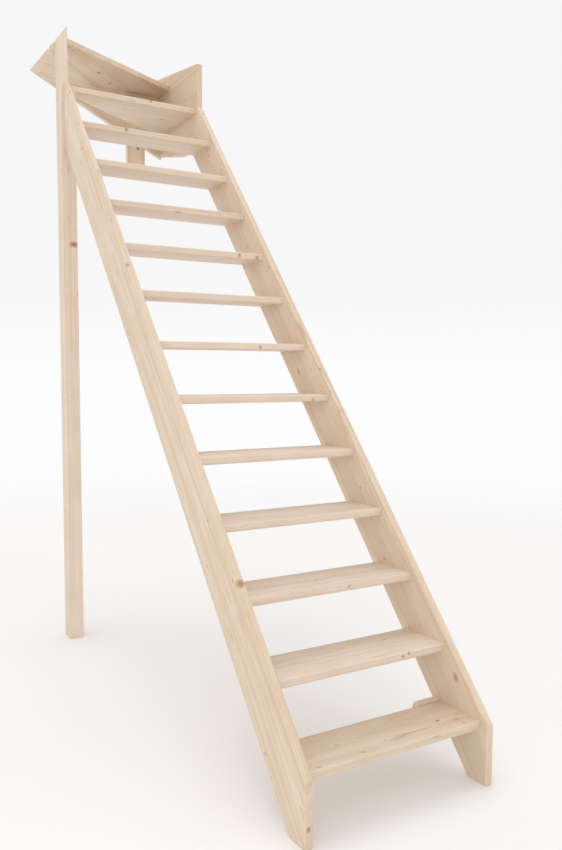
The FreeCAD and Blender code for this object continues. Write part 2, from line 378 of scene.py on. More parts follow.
class Graph:
    """A node tree, with short calls for the kinds of node that the finishes use."""

    def __init__(self, tree: NodeTree) -> None:
        """Wrap a node tree."""
        self.tree = tree

    def add(
        self, kind: str, inputs: dict[str | int, Input] | None = None, **settings: object
    ) -> Node:
        """Add a kind of shader node, with values or sockets for its inputs and its settings.

        Args:
            kind: The node's type, without its ShaderNode.
            inputs: Values or sockets, by the name or number of the input.
            settings: The node's own settings.

        Returns:
            The new node.
        """
        node = self.tree.nodes.new("ShaderNode" + kind)
        for name, value in settings.items():
            setattr(node, name, value)
        self.feed(node, inputs or {})
        return node

    def feed(self, node: Node, inputs: dict[str | int, Input]) -> None:
        """Give a node's inputs their values, or link them to their sockets.

        Args:
            node: The node to feed.
            inputs: Values or sockets, by the name or number of the input.
        """
        for key, value in inputs.items():
            if isinstance(value, Socket):
                self.tree.links.new(value, node.inputs[key])
            else:
                node.inputs[key].default_value = value

    def place(self, group: NodeTree, inputs: dict[str, Input]) -> dict[str, Socket]:
        """Place a shared effect in this tree and give its outputs."""
        return dict(self.add("Group", inputs, node_tree=group).outputs.items())

    def math(self, operation: str, first: Input, second: Input = 0.0) -> Socket:
        """Calculate with one or two numbers."""
        return self.add("Math", {0: first, 1: second}, operation=operation).outputs[0]

    def total(self, start: Input, *terms: tuple[Input, float]) -> Input:
        """Add numbers to a first one, each times its weight.

        Args:
            start: The first number.
            terms: The others, each with its weight.

        Returns:
            The sum.
        """
        for value, weight in terms:
            inputs = {0: value, 1: weight, 2: start}
            start = self.add("Math", inputs, operation="MULTIPLY_ADD").outputs[0]
        return start

    def spread(self, value: Input, width: Input) -> Socket:
        """Centre a number between 0 and 1 on zero and give it another width."""
        return self.math("MULTIPLY", self.math("SUBTRACT", value, 0.5), width)

    def vector(self, operation: str, first: Input, second: Input) -> Socket:
        """Calculate with two vectors."""
        node = self.add("VectorMath", {0: first, 1: second}, operation=operation)
        return node.outputs["Vector"]

    def length(self, vector: Input) -> Socket:
        """Measure a vector."""
        return self.add("VectorMath", {0: vector}, operation="LENGTH").outputs["Value"]

    def rise(self, value: Input, low: float, high: float) -> Socket:
        """Climb smoothly from 0 at a low value to 1 at a high one."""
        limits = {"Value": value, "From Min": low, "From Max": high}
        return self.add("MapRange", limits, interpolation_type="SMOOTHSTEP").outputs["Result"]

    def fall(self, value: Input, low: float, high: float) -> Socket:
        """Drop smoothly from 1 at a low value to 0 at a high one."""
        return self.math("SUBTRACT", 1.0, self.rise(value, low, high))

    def parts(self, vector: Input) -> list[Socket]:
        """Take a vector apart."""
        return list(self.add("SeparateXYZ", {0: vector}).outputs)

    def join(self, x: Input, y: Input, z: Input) -> Socket:
        """Put a vector together."""
        return self.add("CombineXYZ", {0: x, 1: y, 2: z}).outputs[0]

    def noise(self, vector: Input, scale: float = 1.0, detail: float = 2.0) -> Socket:
        """Read a soft random value at a place."""
        inputs = {"Vector": vector, "Scale": scale, "Detail": detail}
        return self.add("TexNoise", inputs).outputs[0]

    def mix(self, amount: Input, first: Input, second: Input, kind: str = "MIX") -> Socket:
        """Mix two colours."""
        inputs = {0: amount, 6: first, 7: second}
        return self.add("Mix", inputs, data_type="RGBA", blend_type=kind).outputs[2]

    def coats(self, colour: Input, *layers: tuple[Input, float, Colour]) -> Input:
        """Lay colours over one another, each through a mask and at a depth.

        Args:
            colour: The ground colour.
            layers: Each layer's mask, depth and colour.

        Returns:
            The colour with its layers.
        """
        for mask, depth, over in layers:
            colour = self.mix(self.math("MULTIPLY", mask, depth), colour, over)
        return colour

    def bump(self, height: Input, strength: float, distance: float) -> Socket:
        """Turn a height into a normal."""
        inputs = {"Height": height, "Strength": strength, "Distance": distance}
        return self.add("Bump", inputs).outputs["Normal"]


def new_material(name: str) -> tuple[Material, Graph, Node]:
    """Start a material and give it with its graph and its main shader.

    Args:
        name: The material's name.

    Returns:
        The material, its graph and its main shader.
    """
    material = bpy.data.materials.new(name)
    material.use_nodes = True
    graph = Graph(material.node_tree)
    return material, graph, graph.tree.nodes["Principled BSDF"]


NUMBER = "NodeSocketFloat"
PLACE = "NodeSocketVector"
HERE = (0.0, 0.0, 0.0)


class Effect(Graph):
    """A shared shader effect: a node group with named inputs and outputs."""

    def __init__(self, name: str, inputs: dict[str, Input], outputs: dict[str, str]) -> None:
        """Make the empty group and its sockets.

        Args:
            name: The group's name.
            inputs: The inputs by name, with their usual values.
            outputs: The outputs by name, each with its kind of socket.
        """
        super().__init__(bpy.data.node_groups.new(name, "ShaderNodeTree"))
        sockets = self.tree.interface
        for label, default in inputs.items():
            kind = NUMBER if isinstance(default, float) else PLACE
            socket = sockets.new_socket(name=label, in_out="INPUT", socket_type=kind)
            socket.default_value = default
        for label, kind in outputs.items():
            sockets.new_socket(name=label, in_out="OUTPUT", socket_type=kind)
        self.entry = self.tree.nodes.new("NodeGroupInput")
        self.exit = self.tree.nodes.new("NodeGroupOutput")

    def read(self, label: str) -> Socket:
        """Read one of the group's inputs."""
        return self.entry.outputs[label]

    def give(self, outputs: dict[str, Input]) -> NodeTree:
        """Send values to the group's outputs and give the finished group."""
        self.feed(self.exit, outputs)
        return self.tree


@cache
def glued_strips() -> NodeTree:
    """Boards glued up side by side: a place on the board becomes one in a strip's log.

    Returns:
        The group.
    """
    graph = Effect(
        "glued strips",
        {"Vector": HERE, "Strip Width": 0.06, "Seed": 0.0},
        {"Vector": PLACE, "Tone": NUMBER, "Hue": NUMBER, "Glue Line": NUMBER},
    )
    shift_along, shift_across, least_depth, depth_range, glue_line = 9.0, 0.07, 0.008, 0.09, 0.0005
    x, y, z = graph.parts(graph.read("Vector"))
    width, seed = graph.read("Strip Width"), graph.read("Seed")
    lane = graph.math("ADD", graph.math("DIVIDE", y, width), seed)
    index = graph.math("FLOOR", lane)
    part = graph.math("SUBTRACT", lane, index)
    chance = graph.add("TexWhiteNoise", {"Vector": graph.join(index, seed, 0.37)})
    red, green, blue = graph.parts(chance.outputs["Color"])
    log_x = graph.total(x, (red, shift_along))
    log_y = graph.math("ADD", graph.spread(part, width), graph.spread(green, shift_across))
    log_z = graph.math("ADD", z, graph.total(least_depth, (blue, depth_range)))
    nearest = graph.math("MINIMUM", part, graph.math("SUBTRACT", 1.0, part))
    return graph.give({
        "Vector": graph.join(log_x, log_y, log_z),
        "Tone": chance.outputs["Value"],
        "Hue": green,
        "Glue Line": graph.fall(graph.math("MULTIPLY", nearest, width), 0.0, glue_line),
    })


@cache
def growth_rings() -> NodeTree:
    """Growth rings about a log's pith, with soft dark bands and fine fibres.

    Returns:
        The group.
    """
    graph = Effect(
        "growth rings",
        {"Vector": HERE, "Ring Width": 0.003, "Wander": 0.01},
        {"Late Wood": NUMBER, "Band": NUMBER, "Fibre": NUMBER},
    )
    place, wander = graph.read("Vector"), graph.read("Wander")
    slow = graph.vector("MULTIPLY", place, (0.8, 5.0, 5.0))
    x, y, z = graph.parts(place)
    log_y = graph.math("ADD", y, graph.spread(graph.noise(slow, 1.0, 1.0), wander))
    log_z = graph.math("ADD", z, graph.spread(graph.noise(slow, 1.7, 1.0), wander))
    radius = graph.length(graph.join(0.0, log_y, log_z))
    turns = graph.math("DIVIDE", radius, graph.read("Ring Width"))
    uneven = graph.noise(graph.join(turns, 0.0, graph.math("MULTIPLY", x, 0.4)), 0.3, 1.0)
    turns = graph.total(turns, (uneven, 1.6))
    part = graph.math("FRACT", turns)
    late = graph.math("MULTIPLY", graph.rise(part, 0.35, 0.9), graph.fall(part, 0.92, 1.0))
    along = graph.math("MULTIPLY", x, 0.7)
    band_place = graph.join(along, graph.math("MULTIPLY", turns, 0.34), 0.0)
    band = graph.rise(graph.noise(band_place, 1.0, 2.5), 0.42, 0.72)
    fibre_place = graph.vector("MULTIPLY", place, (22.0, 700.0, 700.0))
    fibre = graph.noise(fibre_place, 1.0, 2.0)
    return graph.give({"Late Wood": late, "Band": band, "Fibre": fibre})


@cache
def knot_group() -> NodeTree:
    """A knot to be chained: it bends the grain and adds to the masks of heart and rim.

    Returns:
        The group.
    """
    inputs = {
        "Vector": HERE, "Centre": HERE, "Size": HERE, "Turn": 0.0, "Heart": 0.0, "Rim": 0.0,
        "Strength": 1.0,
    }
    graph = Effect("knot", inputs, {"Vector": PLACE, "Heart": NUMBER, "Rim": NUMBER})
    place, centre = graph.read("Vector"), graph.read("Centre")
    offset = graph.vector("SUBTRACT", place, centre)
    turned = graph.add(
        "VectorRotate", {"Vector": offset, "Angle": graph.read("Turn")}, rotation_type="Z_AXIS"
    )
    scaled = graph.vector("DIVIDE", turned.outputs[0], graph.read("Size"))
    ragged = graph.noise(graph.vector("ADD", scaled, centre), 2.0, 2.0)
    distance = graph.length(scaled)
    edge = graph.math("ADD", distance, graph.spread(ragged, 1.0))
    heart = graph.math("MULTIPLY", graph.fall(edge, 0.25, 1.25), graph.read("Strength"))
    collar = graph.math("MULTIPLY", graph.rise(edge, 0.4, 0.9), graph.fall(edge, 0.9, 1.5))
    rim = graph.math("MULTIPLY", collar, graph.read("Strength"))
    square = graph.math("MULTIPLY", distance, distance)
    near = graph.math("EXPONENT", graph.math("MULTIPLY", square, -0.16))
    pull = graph.math("MULTIPLY", near, -0.85)
    bend = graph.math("MULTIPLY", graph.parts(offset)[1], pull)
    return graph.give({
        "Vector": graph.vector("ADD", place, graph.join(0.0, bend, 0.0)),
        "Heart": graph.math("MAXIMUM", heart, graph.read("Heart")),
        "Rim": graph.math("MAXIMUM", rim, graph.read("Rim")),
    })


@cache
def resin_flecks() -> NodeTree:
    """Short thin resin flecks that lie with the grain.

    Returns:
        The group.
    """
    graph = Effect("resin flecks", {"Vector": HERE, "Amount": 0.3}, {"Fleck": NUMBER})
    stretched = graph.vector("MULTIPLY", graph.read("Vector"), (9.0, 110.0, 60.0))
    cell = graph.add("TexVoronoi", {"Vector": stretched, "Scale": 1.0})
    chance = graph.parts(cell.outputs["Color"])[0]
    chosen = graph.math("LESS_THAN", chance, graph.read("Amount"))
    fleck = graph.math("MULTIPLY", graph.fall(cell.outputs["Distance"], 0.05, 0.3), chosen)
    return graph.give({"Fleck": fleck})


@cache
def sawn_ends() -> NodeTree:
    """The end grain, where a face looks along the fibres, with its saw lines.

    Returns:
        The group.
    """
    graph = Effect("sawn ends", {"Vector": HERE, "Normal": HERE}, {"End": NUMBER, "Saw": NUMBER})
    facing = graph.math("ABSOLUTE", graph.parts(graph.read("Normal"))[0])
    end = graph.rise(facing, 0.45, 0.9)
    lines = graph.vector("MULTIPLY", graph.read("Vector"), (90.0, 900.0, 60.0))
    marks = graph.math("MULTIPLY", graph.noise(lines, 1.0, 1.0), end)
    return graph.give({"End": end, "Saw": marks})


@cache
def edge_wear_and_highlight() -> NodeTree:
    """The planed arrises, a little paler than the faces, unevenly rubbed: partly the paler planed
    fibre, partly a painted highlight where the edges catch the light.

    Returns:
        The group.
    """
    graph = Effect("eased edges", {"Vector": HERE}, {"Rubbed And Highlight": NUMBER})
    arris = graph.add("Attribute", attribute_name="arris").outputs["Fac"]
    patches = graph.rise(graph.noise(graph.read("Vector"), 22.0, 2.0), 0.3, 0.6)
    return graph.give({"Rubbed And Highlight": graph.math("MULTIPLY", arris, patches)})


# ---- Finishes ----


@dataclass(frozen=True)
class Knot:
    """A knot, placed along and across a board from the grain's corner of it."""

    along: float
    across: float
    size: float = 0.006
    stretch: float = 1.5
    strength: float = 0.8
    through: float = 0.0
    reach: float = 0.5
    turn: float = 0.0


@dataclass(frozen=True)
class Grain:
    """How the wood lies in a piece: a corner, the fibres' direction and the one across."""

    corner: Vector
    along: Vector
    across: Vector

    @classmethod
    def of(cls, node: str, along: Vector, across: Vector) -> "Grain":
        """Lay the grain from the lowest corner of a CAD node."""
        return cls(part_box(node)[0], along, across)

    def turn(self) -> Matrix:
        """Give the rotation from the object's axes to the board's own.

        Returns:
            The rotation.
        """
        along = self.along.normalized()
        across = self.across.normalized()
        return Matrix((along, across, along.cross(across)))


@dataclass(frozen=True)
class SpruceFinish:
    """Planed, unfinished spruce: its colours, its sizes and how deep each effect goes."""

    early: Colour = paint(226, 210, 190)
    late: Colour = paint(202, 171, 136)
    band: Colour = paint(203, 173, 137)
    rosy: Colour = paint(229, 210, 192)
    heart: Colour = paint(172, 108, 42)
    rim: Colour = paint(128, 80, 36)
    strip_width: float = 0.062
    ring_width: float = 0.0032
    wander: float = 0.02
    flecks: float = 0.10
    ring_depth: float = 0.55
    band_depth: float = 0.58
    blush_depth: float = 0.45
    least_tone: float = 0.93
    tone_range: float = 0.09
    cloud_depth: float = 0.22
    fibre_depth: float = 0.16
    glue_depth: float = 0.35
    fleck_depth: float = 0.4
    end_depth: float = 0.3
    # painted highlight on the eased arrises, mixed with their paler planed fibre
    rubbed_highlight_depth: float = 0.35
    heart_depth: float = 0.9
    rim_depth: float = 0.25
    roughness: float = 0.58
    late_gloss: float = -0.10
    heart_gloss: float = -0.15
    specular: float = 0.35
    relief: float = 0.0003

    def material(
        self, name: str, grain: Grain, seed: float, knots: tuple[Knot, ...] = ()
    ) -> Material:
        """Mix this finish for one piece. The seed picks other strips for each piece.

        Args:
            name: The piece's name, which the material takes.
            grain: How the grain lies in the piece.
            seed: The number that picks the strips.
            knots: The knots that show.

        Returns:
            The finished material.
        """
        material, graph, shader = new_material("spruce_" + name)
        turn = grain.turn()
        coordinates = graph.add("TexCoord")
        angles = tuple(turn.to_euler("XYZ"))
        start = tuple(turn @ -grain.corner)
        board = graph.add("Mapping", {
            "Vector": coordinates.outputs["Object"], "Rotation": angles, "Location": start,
        }).outputs[0]
        facing = graph.add("Mapping", {
            "Vector": coordinates.outputs["Normal"], "Rotation": angles,
        }, vector_type="NORMAL").outputs[0]

        flow, heart, rim = self._knots(graph, board, knots)
        strips = graph.place(
            glued_strips(), {"Vector": board, "Strip Width": self.strip_width, "Seed": seed}
        )
        bend = graph.vector("SUBTRACT", flow, board)
        log_place = graph.vector("ADD", strips["Vector"], bend)
        rings = graph.place(
            growth_rings(),
            {"Vector": log_place, "Ring Width": self.ring_width, "Wander": self.wander},
        )
        fleck = graph.place(resin_flecks(), {"Vector": log_place, "Amount": self.flecks})
        ends = graph.place(sawn_ends(), {"Vector": board, "Normal": facing})
        # eased arrises: paler planed fibre together with a painted highlight
        edges = graph.place(edge_wear_and_highlight(), {"Vector": board})

        late, fibre = rings["Late Wood"], rings["Fibre"]
        glue = strips["Glue Line"]
        colour = graph.coats(
            self.early,
            (late, self.ring_depth, self.late),
            (rings["Band"], self.band_depth, self.band),
            (strips["Hue"], self.blush_depth, self.rosy),
        )
        shade = graph.total(self.least_tone, (strips["Tone"], self.tone_range))
        colour = graph.mix(1.0, colour, graph.join(shade, shade, shade), "MULTIPLY")
        colour = graph.coats(
            colour,
            (graph.rise(graph.noise(board, 7.0, 3.0), 0.35, 0.7), self.cloud_depth, self.band),
            (graph.rise(fibre, 0.5, 0.8), self.fibre_depth, self.late),
            (glue, self.glue_depth, self.rim),
            (fleck["Fleck"], self.fleck_depth, self.heart),
            (ends["End"], self.end_depth, self.late),
            # painted highlight: the eased arrises are lightened, partly for their planed fibre,
            # partly for the light they catch
            (edges["Rubbed And Highlight"], self.rubbed_highlight_depth, self.rosy),
            (heart, self.heart_depth, self.heart),
            (rim, self.rim_depth, self.rim),
        )
        rough = graph.total(self.roughness, (late, self.late_gloss), (heart, self.heart_gloss))
        height = graph.total(
            0.0, (late, 0.5), (fibre, 0.4), (glue, -1.0), (heart, 0.8), (ends["Saw"], 1.0)
        )
        graph.feed(shader, {
            "Base Color": colour, "Roughness": rough, "Specular IOR Level": self.specular,
            "Normal": graph.bump(height, 0.35, self.relief),
        })
        return material

    def _knots(
        self, graph: Graph, board: Socket, knots: tuple[Knot, ...]
    ) -> tuple[Socket | float, ...]:
        """Chain a piece's knots and give the bent place and the two masks.

        Args:
            graph: The material's graph.
            board: The place on the board.
            knots: The knots, in the order that they bend the grain.

        Returns:
            The bent place and the masks of heart and rim.
        """
        flow: Input = board
        heart: Input = 0.0
        rim: Input = 0.0
        for knot in knots:
            bent = graph.place(knot_group(), {
                "Vector": flow,
                "Centre": (knot.along, knot.across, knot.through),
                "Size": (knot.size * knot.stretch, knot.size, knot.reach),
                "Turn": math.radians(knot.turn), "Heart": heart, "Rim": rim,
                "Strength": knot.strength,
            })
            flow, heart, rim = (bent[name] for name in ("Vector", "Heart", "Rim"))
        return flow, heart, rim


@dataclass(frozen=True)
class SteelFinish:
    """Zinc-plated screws, with the thread as relief along their axis."""

    zinc: Colour = paint(196, 196, 190)
    dull: Colour = paint(150, 150, 142)
    thread: float = 0.0028
    thread_depth: float = 0.0008
    gloss: float = 0.28
    dulling: float = 0.25

    def material(self, name: str, axis: Vector) -> Material:
        """Mix this finish for screws that lie along an axis.

        Args:
            name: The node's name, which the material takes.
            axis: The direction of the screws.

        Returns:
            The finished material.
        """
        material, graph, shader = new_material("zinc_" + name)
        place = graph.add("TexCoord").outputs["Object"]
        blotches = graph.rise(graph.noise(place, 260.0, 3.0), 0.35, 0.7)
        dot = graph.add("VectorMath", {0: place, 1: tuple(axis)}, operation="DOT_PRODUCT")
        turns = graph.math("FRACT", graph.math("DIVIDE", dot.outputs["Value"], self.thread))
        ridge = graph.math("ABSOLUTE", graph.math("SUBTRACT", turns, 0.5))
        graph.feed(shader, {
            "Base Color": graph.mix(blotches, self.zinc, self.dull),
            "Roughness": graph.total(self.gloss, (blotches, self.dulling)),
            "Metallic": 1.0, "Normal": graph.bump(ridge, 0.6, self.thread_depth),
        })
        return material


# ---- The stair ----

SPRUCE = SpruceFinish()
PALE_SPRUCE = replace(
    SPRUCE, early=paint(229, 215, 200), late=paint(206, 178, 149), band=paint(207, 180, 150)
)


@dataclass
class Flight:
    """Two stringers, twelve open treads and the glue block behind the lowest one."""

    straight_treads: int = 12
    stringer_lead: float = 0.026
    stringer_width: float = 0.187
    nosing_radius: float = 0.005
    stringer_arris: float = 0.003
    tread_arris: float = 0.0015
    block_chamfer: float = 0.009
    treads: list[Piece] = field(default_factory=list)
    stringers: dict[str, Piece] = field(default_factory=dict)

    LEFT_KNOTS = (
        Knot(0.595, 0.0, 0.012, 1.1, 0.9, -0.013, 0.013), Knot(0.616, 0.012, 0.004),
        Knot(0.736, 0.145, 0.003), Knot(0.846, 0.045, 0.003), Knot(0.49, 0.135, 0.004, 7.0, 0.35),
        Knot(0.132, 0.166, 0.005), Knot(-0.102, 0.087, 0.008, 1.0, 0.85, -0.012, 0.007),
        Knot(2.73, 0.038, 0.005, 2.2, 0.75, turn=-35), Knot(2.688, 0.083, 0.004, 5.0, 0.4),
        Knot(2.23, 0.004, 0.004, 1.4, 0.6, 0.0, 0.01), Knot(2.007, 0.158, 0.004),
        Knot(1.972, 0.003, 0.006, 1.6, 0.8, 0.0, 0.012), Knot(1.855, 0.101, 0.003),
        Knot(2.03, 0.097, 0.003, 9.0, 0.45), Knot(2.462, 0.075, 0.003, 1.5, 0.4),
        Knot(2.385, 0.111, 0.003, 1.5, 0.4),
    )
    RIGHT_KNOTS = (
        Knot(1.542, 0.127, 0.007, 1.6, 0.9), Knot(1.39, 0.102, 0.004),
        Knot(1.096, 0.147, 0.004, 1.5, 0.45), Knot(0.937, 0.077, 0.004, 1.6),
        Knot(0.657, 0.117, 0.004, 2.2, 0.7), Knot(0.253, 0.035, 0.004, 1.8, 0.4),
        Knot(0.176, 0.037, 0.01, 1.3, 0.75, turn=30), Knot(2.044, 0.021, 0.005),
        Knot(2.258, 0.095, 0.005), Knot(2.901, 0.073, 0.004), Knot(2.88, 0.078, 0.005, 1.3, 0.9),
        Knot(1.66, 0.002, 0.004, 12.0, 0.5, 0.0, 0.01),
        Knot(1.45, 0.002, 0.005, 1.6, 0.6, 0.0, 0.01),
    )
    TREAD_KNOTS = {
        1: (
            Knot(0.179, 0.096, 0.003, 3.2, 0.8, turn=28),
            Knot(0.218, 0.022, 0.003, 3.4, 0.85, turn=28),
            Knot(0.058, 0.012, 0.003, 2.8, 0.8, turn=28), Knot(0.319, 0.048, 0.004, 1.5, 0.4),
            Knot(0.546, 0.072, 0.006, 1.4, 1.0), Knot(0.605, 0.051, 0.007, 1.6, 0.55),
            Knot(0.612, 0.025, 0.003, 3.0, 0.7, turn=-40), Knot(0.426, 0.048, 0.006, 12.0, 0.5),
            Knot(0.38, 0.04, 0.003, 14.0, 0.5),
        ),
        2: (
            Knot(0.514, 0.131, 0.004, 2.4, 0.7), Knot(0.486, 0.112, 0.005, 2.0, 0.45),
            Knot(0.282, 0.165, 0.004, 1.6, 0.4), Knot(0.51, 0.0, 0.005, 1.0, 0.9, 0.02, 0.005),
            Knot(0.487, 0.0, 0.005, 1.0, 0.9, 0.014, 0.005),
        ),
        3: (Knot(0.32, 0.084, 0.004, 1.6, 0.6), Knot(0.395, 0.0, 0.005, 1.0, 0.7, 0.015, 0.005)),
        4: (Knot(0.506, 0.1, 0.004, 2.0, 0.6),),
        5: (Knot(0.584, 0.09, 0.005, 1.5, 0.6),),
        6: (Knot(0.587, 0.0, 0.005, 1.1, 0.7, 0.006, 0.006),),
        7: (Knot(0.449, 0.0, 0.006, 1.1, 0.8, 0.01, 0.007),),
        9: (
            Knot(0.541, 0.0, 0.008, 1.0, 0.8, 0.0135, 0.008),
            Knot(0.628, 0.0, 0.008, 1.0, 0.8, 0.01, 0.008), Knot(0.235, 0.02, 0.003, 6.0, 0.4),
        ),
        10: (Knot(0.33, 0.0, 0.007, 2.0, 0.7, 0.002, 0.006),),
        12: (Knot(0.229, 0.0, 0.007, 1.1, 0.9, 0.019, 0.009),),
    }

    def build(self) -> None:
        """Saw the boards, leaving the housings until everything is sawn."""
        first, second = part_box("tread_01")[0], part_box("tread_02")[0]
        step = second - first
        self.uphill = Vector((0, step.y, step.z)).normalized()
        self.square = Vector((0, -step.z, step.y)).normalized()
        for number in range(1, self.straight_treads + 1):
            self.treads.append(self._tread(number))
        self.nose = Vector((0, first.y - self.stringer_lead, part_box("tread_01")[1].z))
        for side in ("left", "right"):
            self.stringers[side] = self._stringer(side)
        self.block = self._glue_block()

    def _tread(self, number: int) -> Piece:
        """Make one tread with a rounded nosing.

        Args:
            number: The tread's number, from 1 at the foot.

        Returns:
            The tread.
        """
        low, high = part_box(f"tread_{number:02d}")
        tread = plank(f"tread_{number:02d}_board", low, high)
        round_over(tread, in_nosing(low, -CLIMB), self.nosing_radius)
        ease(tread, self.tread_arris)
        if number == self.straight_treads:
            post_low, post_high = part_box("newel_post")
            start = Vector((low.x, post_low.y, low.z)) - (ACROSS + UP) * OVERCUT
            end = Vector((post_high.x, high.y, high.z)) + (CLIMB + UP) * OVERCUT
            notch(tread, start, end)
        return tread

    def _stringer(self, side: str) -> Piece:
        """Make one stringer: a wide board sawn plumb at its foot and its head.

        Args:
            side: left or right.

        Returns:
            The stringer.
        """
        low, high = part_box(f"{side}_stringer")
        stringer = plank(f"{side}_stringer_board", low, high)
        saw(stringer, self.nose, self.square)
        saw(stringer, self.nose - self.square * self.stringer_width, -self.square)
        ease(stringer, self.stringer_arris)
        return stringer

    def _glue_block(self) -> Piece:
        """Make the block behind the lowest tread, with its sawn-off corner.

        Returns:
            The block.
        """
        low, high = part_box("rear_glue_block")
        block = plank("rear_glue_block_piece", low, high)
        saw(block, Vector((low.x, low.y, high.z - self.block_chamfer)), UP - ACROSS)
        ease(block, self.tread_arris)
        return block

    def join(self) -> None:
        """Cut the housings, then the bores for dowels and screws."""
        carve(self.stringers["left"], *self.treads)
        carve(self.stringers["left"], "left_tread_dowels", "newel_screws")
        carve(self.stringers["right"], *self.treads)
        carve(self.stringers["right"], "right_tread_dowels", "stringer_joint_dowels")

    def drill_treads(self) -> None:
        """Bore the treads' ends, after every housing has been cut with them."""
        for tread in self.treads:
            carve(tread, "left_tread_dowels", "right_tread_dowels")

    def dress(self) -> None:
        """Finish and hand over every board of the flight."""
        knots = {"left": self.LEFT_KNOTS, "right": self.RIGHT_KNOTS}
        for side, seed in (("left", 0.18), ("right", 3.63)):
            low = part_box(f"{side}_stringer")[0]
            corner = Vector((low.x, low.y, self.nose.z))
            corner.z += (low.y - self.nose.y) * self.uphill.z / self.uphill.y
            grain = Grain(corner, self.uphill, -self.square)
            material = SPRUCE.material(side + "_stringer", grain, seed, knots[side])
            hand_over(self.stringers[side], [side + "_stringer"], Slot.STRINGER, material)
        for number, tread in enumerate(self.treads, start=1):
            node = f"tread_{number:02d}"
            grain, seed = Grain.of(node, ACROSS, CLIMB), 5.27 + 1.37 * number
            wood = SPRUCE if number == 1 else PALE_SPRUCE
            material = wood.material(node, grain, seed, self.TREAD_KNOTS.get(number, ()))
            hand_over(tread, [node], Slot.TREAD, material)
        node = "rear_glue_block"
        material = SPRUCE.material(node, Grain.of(node, ACROSS, UP), 2.31)
        hand_over(self.block, [node], Slot.BATTEN, material)


@dataclass
class Newel:
    """The post at the inner corner, thinned above the shoulder that carries a tread."""

    arris: float = 0.002

    KNOTS = (
        Knot(2.211, 0.024, 0.004, 1.5, 0.7), Knot(2.404, 0.028, 0.003, 1.5, 0.6),
        Knot(1.873, 0.0, 0.015, 0.9, 1.0, -0.049, 0.021), Knot(1.772, 0.04, 0.003, 1.4, 0.5),
        Knot(1.431, 0.049, 0.003, 1.4, 0.5), Knot(1.15, 0.03, 0.004), Knot(0.62, 0.06, 0.005),
    )

    def build(self) -> None:
        """Saw the post, extrude its thicker lower part and cut the slanted top."""
        low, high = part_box("newel_post")
        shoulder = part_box("winder_tread_13")[0].z
        exit_low, exit_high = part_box("winder_tread_14")
        inner = low.x + NEWEL_UPPER_WIDTH
        self.post = plank("newel_post_timber", low, Vector((inner, high.y, high.z)))
        mark_out(self.post, Vector((0, 0, shoulder)), UP)
        right = in_plane(Vector((inner, low.y, low.z)), ACROSS)
        pick(self.post, "FACE", lambda corners: right(corners)
             and sum(corner.z for corner in corners) / len(corners) < shoulder)
        with editing(self.post):
            bpy.ops.mesh.extrude_region_move(
                TRANSFORM_OT_translate={"value": (high.x - inner, 0, 0)}
            )
        ease(self.post, self.arris)
        saw(self.post, Vector((exit_low.x, low.y, exit_high.z)), UP - ACROSS * EXIT_SLOPE)

    def join(self) -> None:
        """Bore the post for its screws and their plugs."""
        carve(self.post, "newel_screws", "newel_screw_plugs")

    def dress(self) -> None:
        """Finish and hand over the post."""
        grain = Grain.of("newel_post", UP, CLIMB)
        material = PALE_SPRUCE.material("newel_post", grain, 1.47, self.KNOTS)
        hand_over(self.post, ["newel_post"], Slot.NEWEL, material)


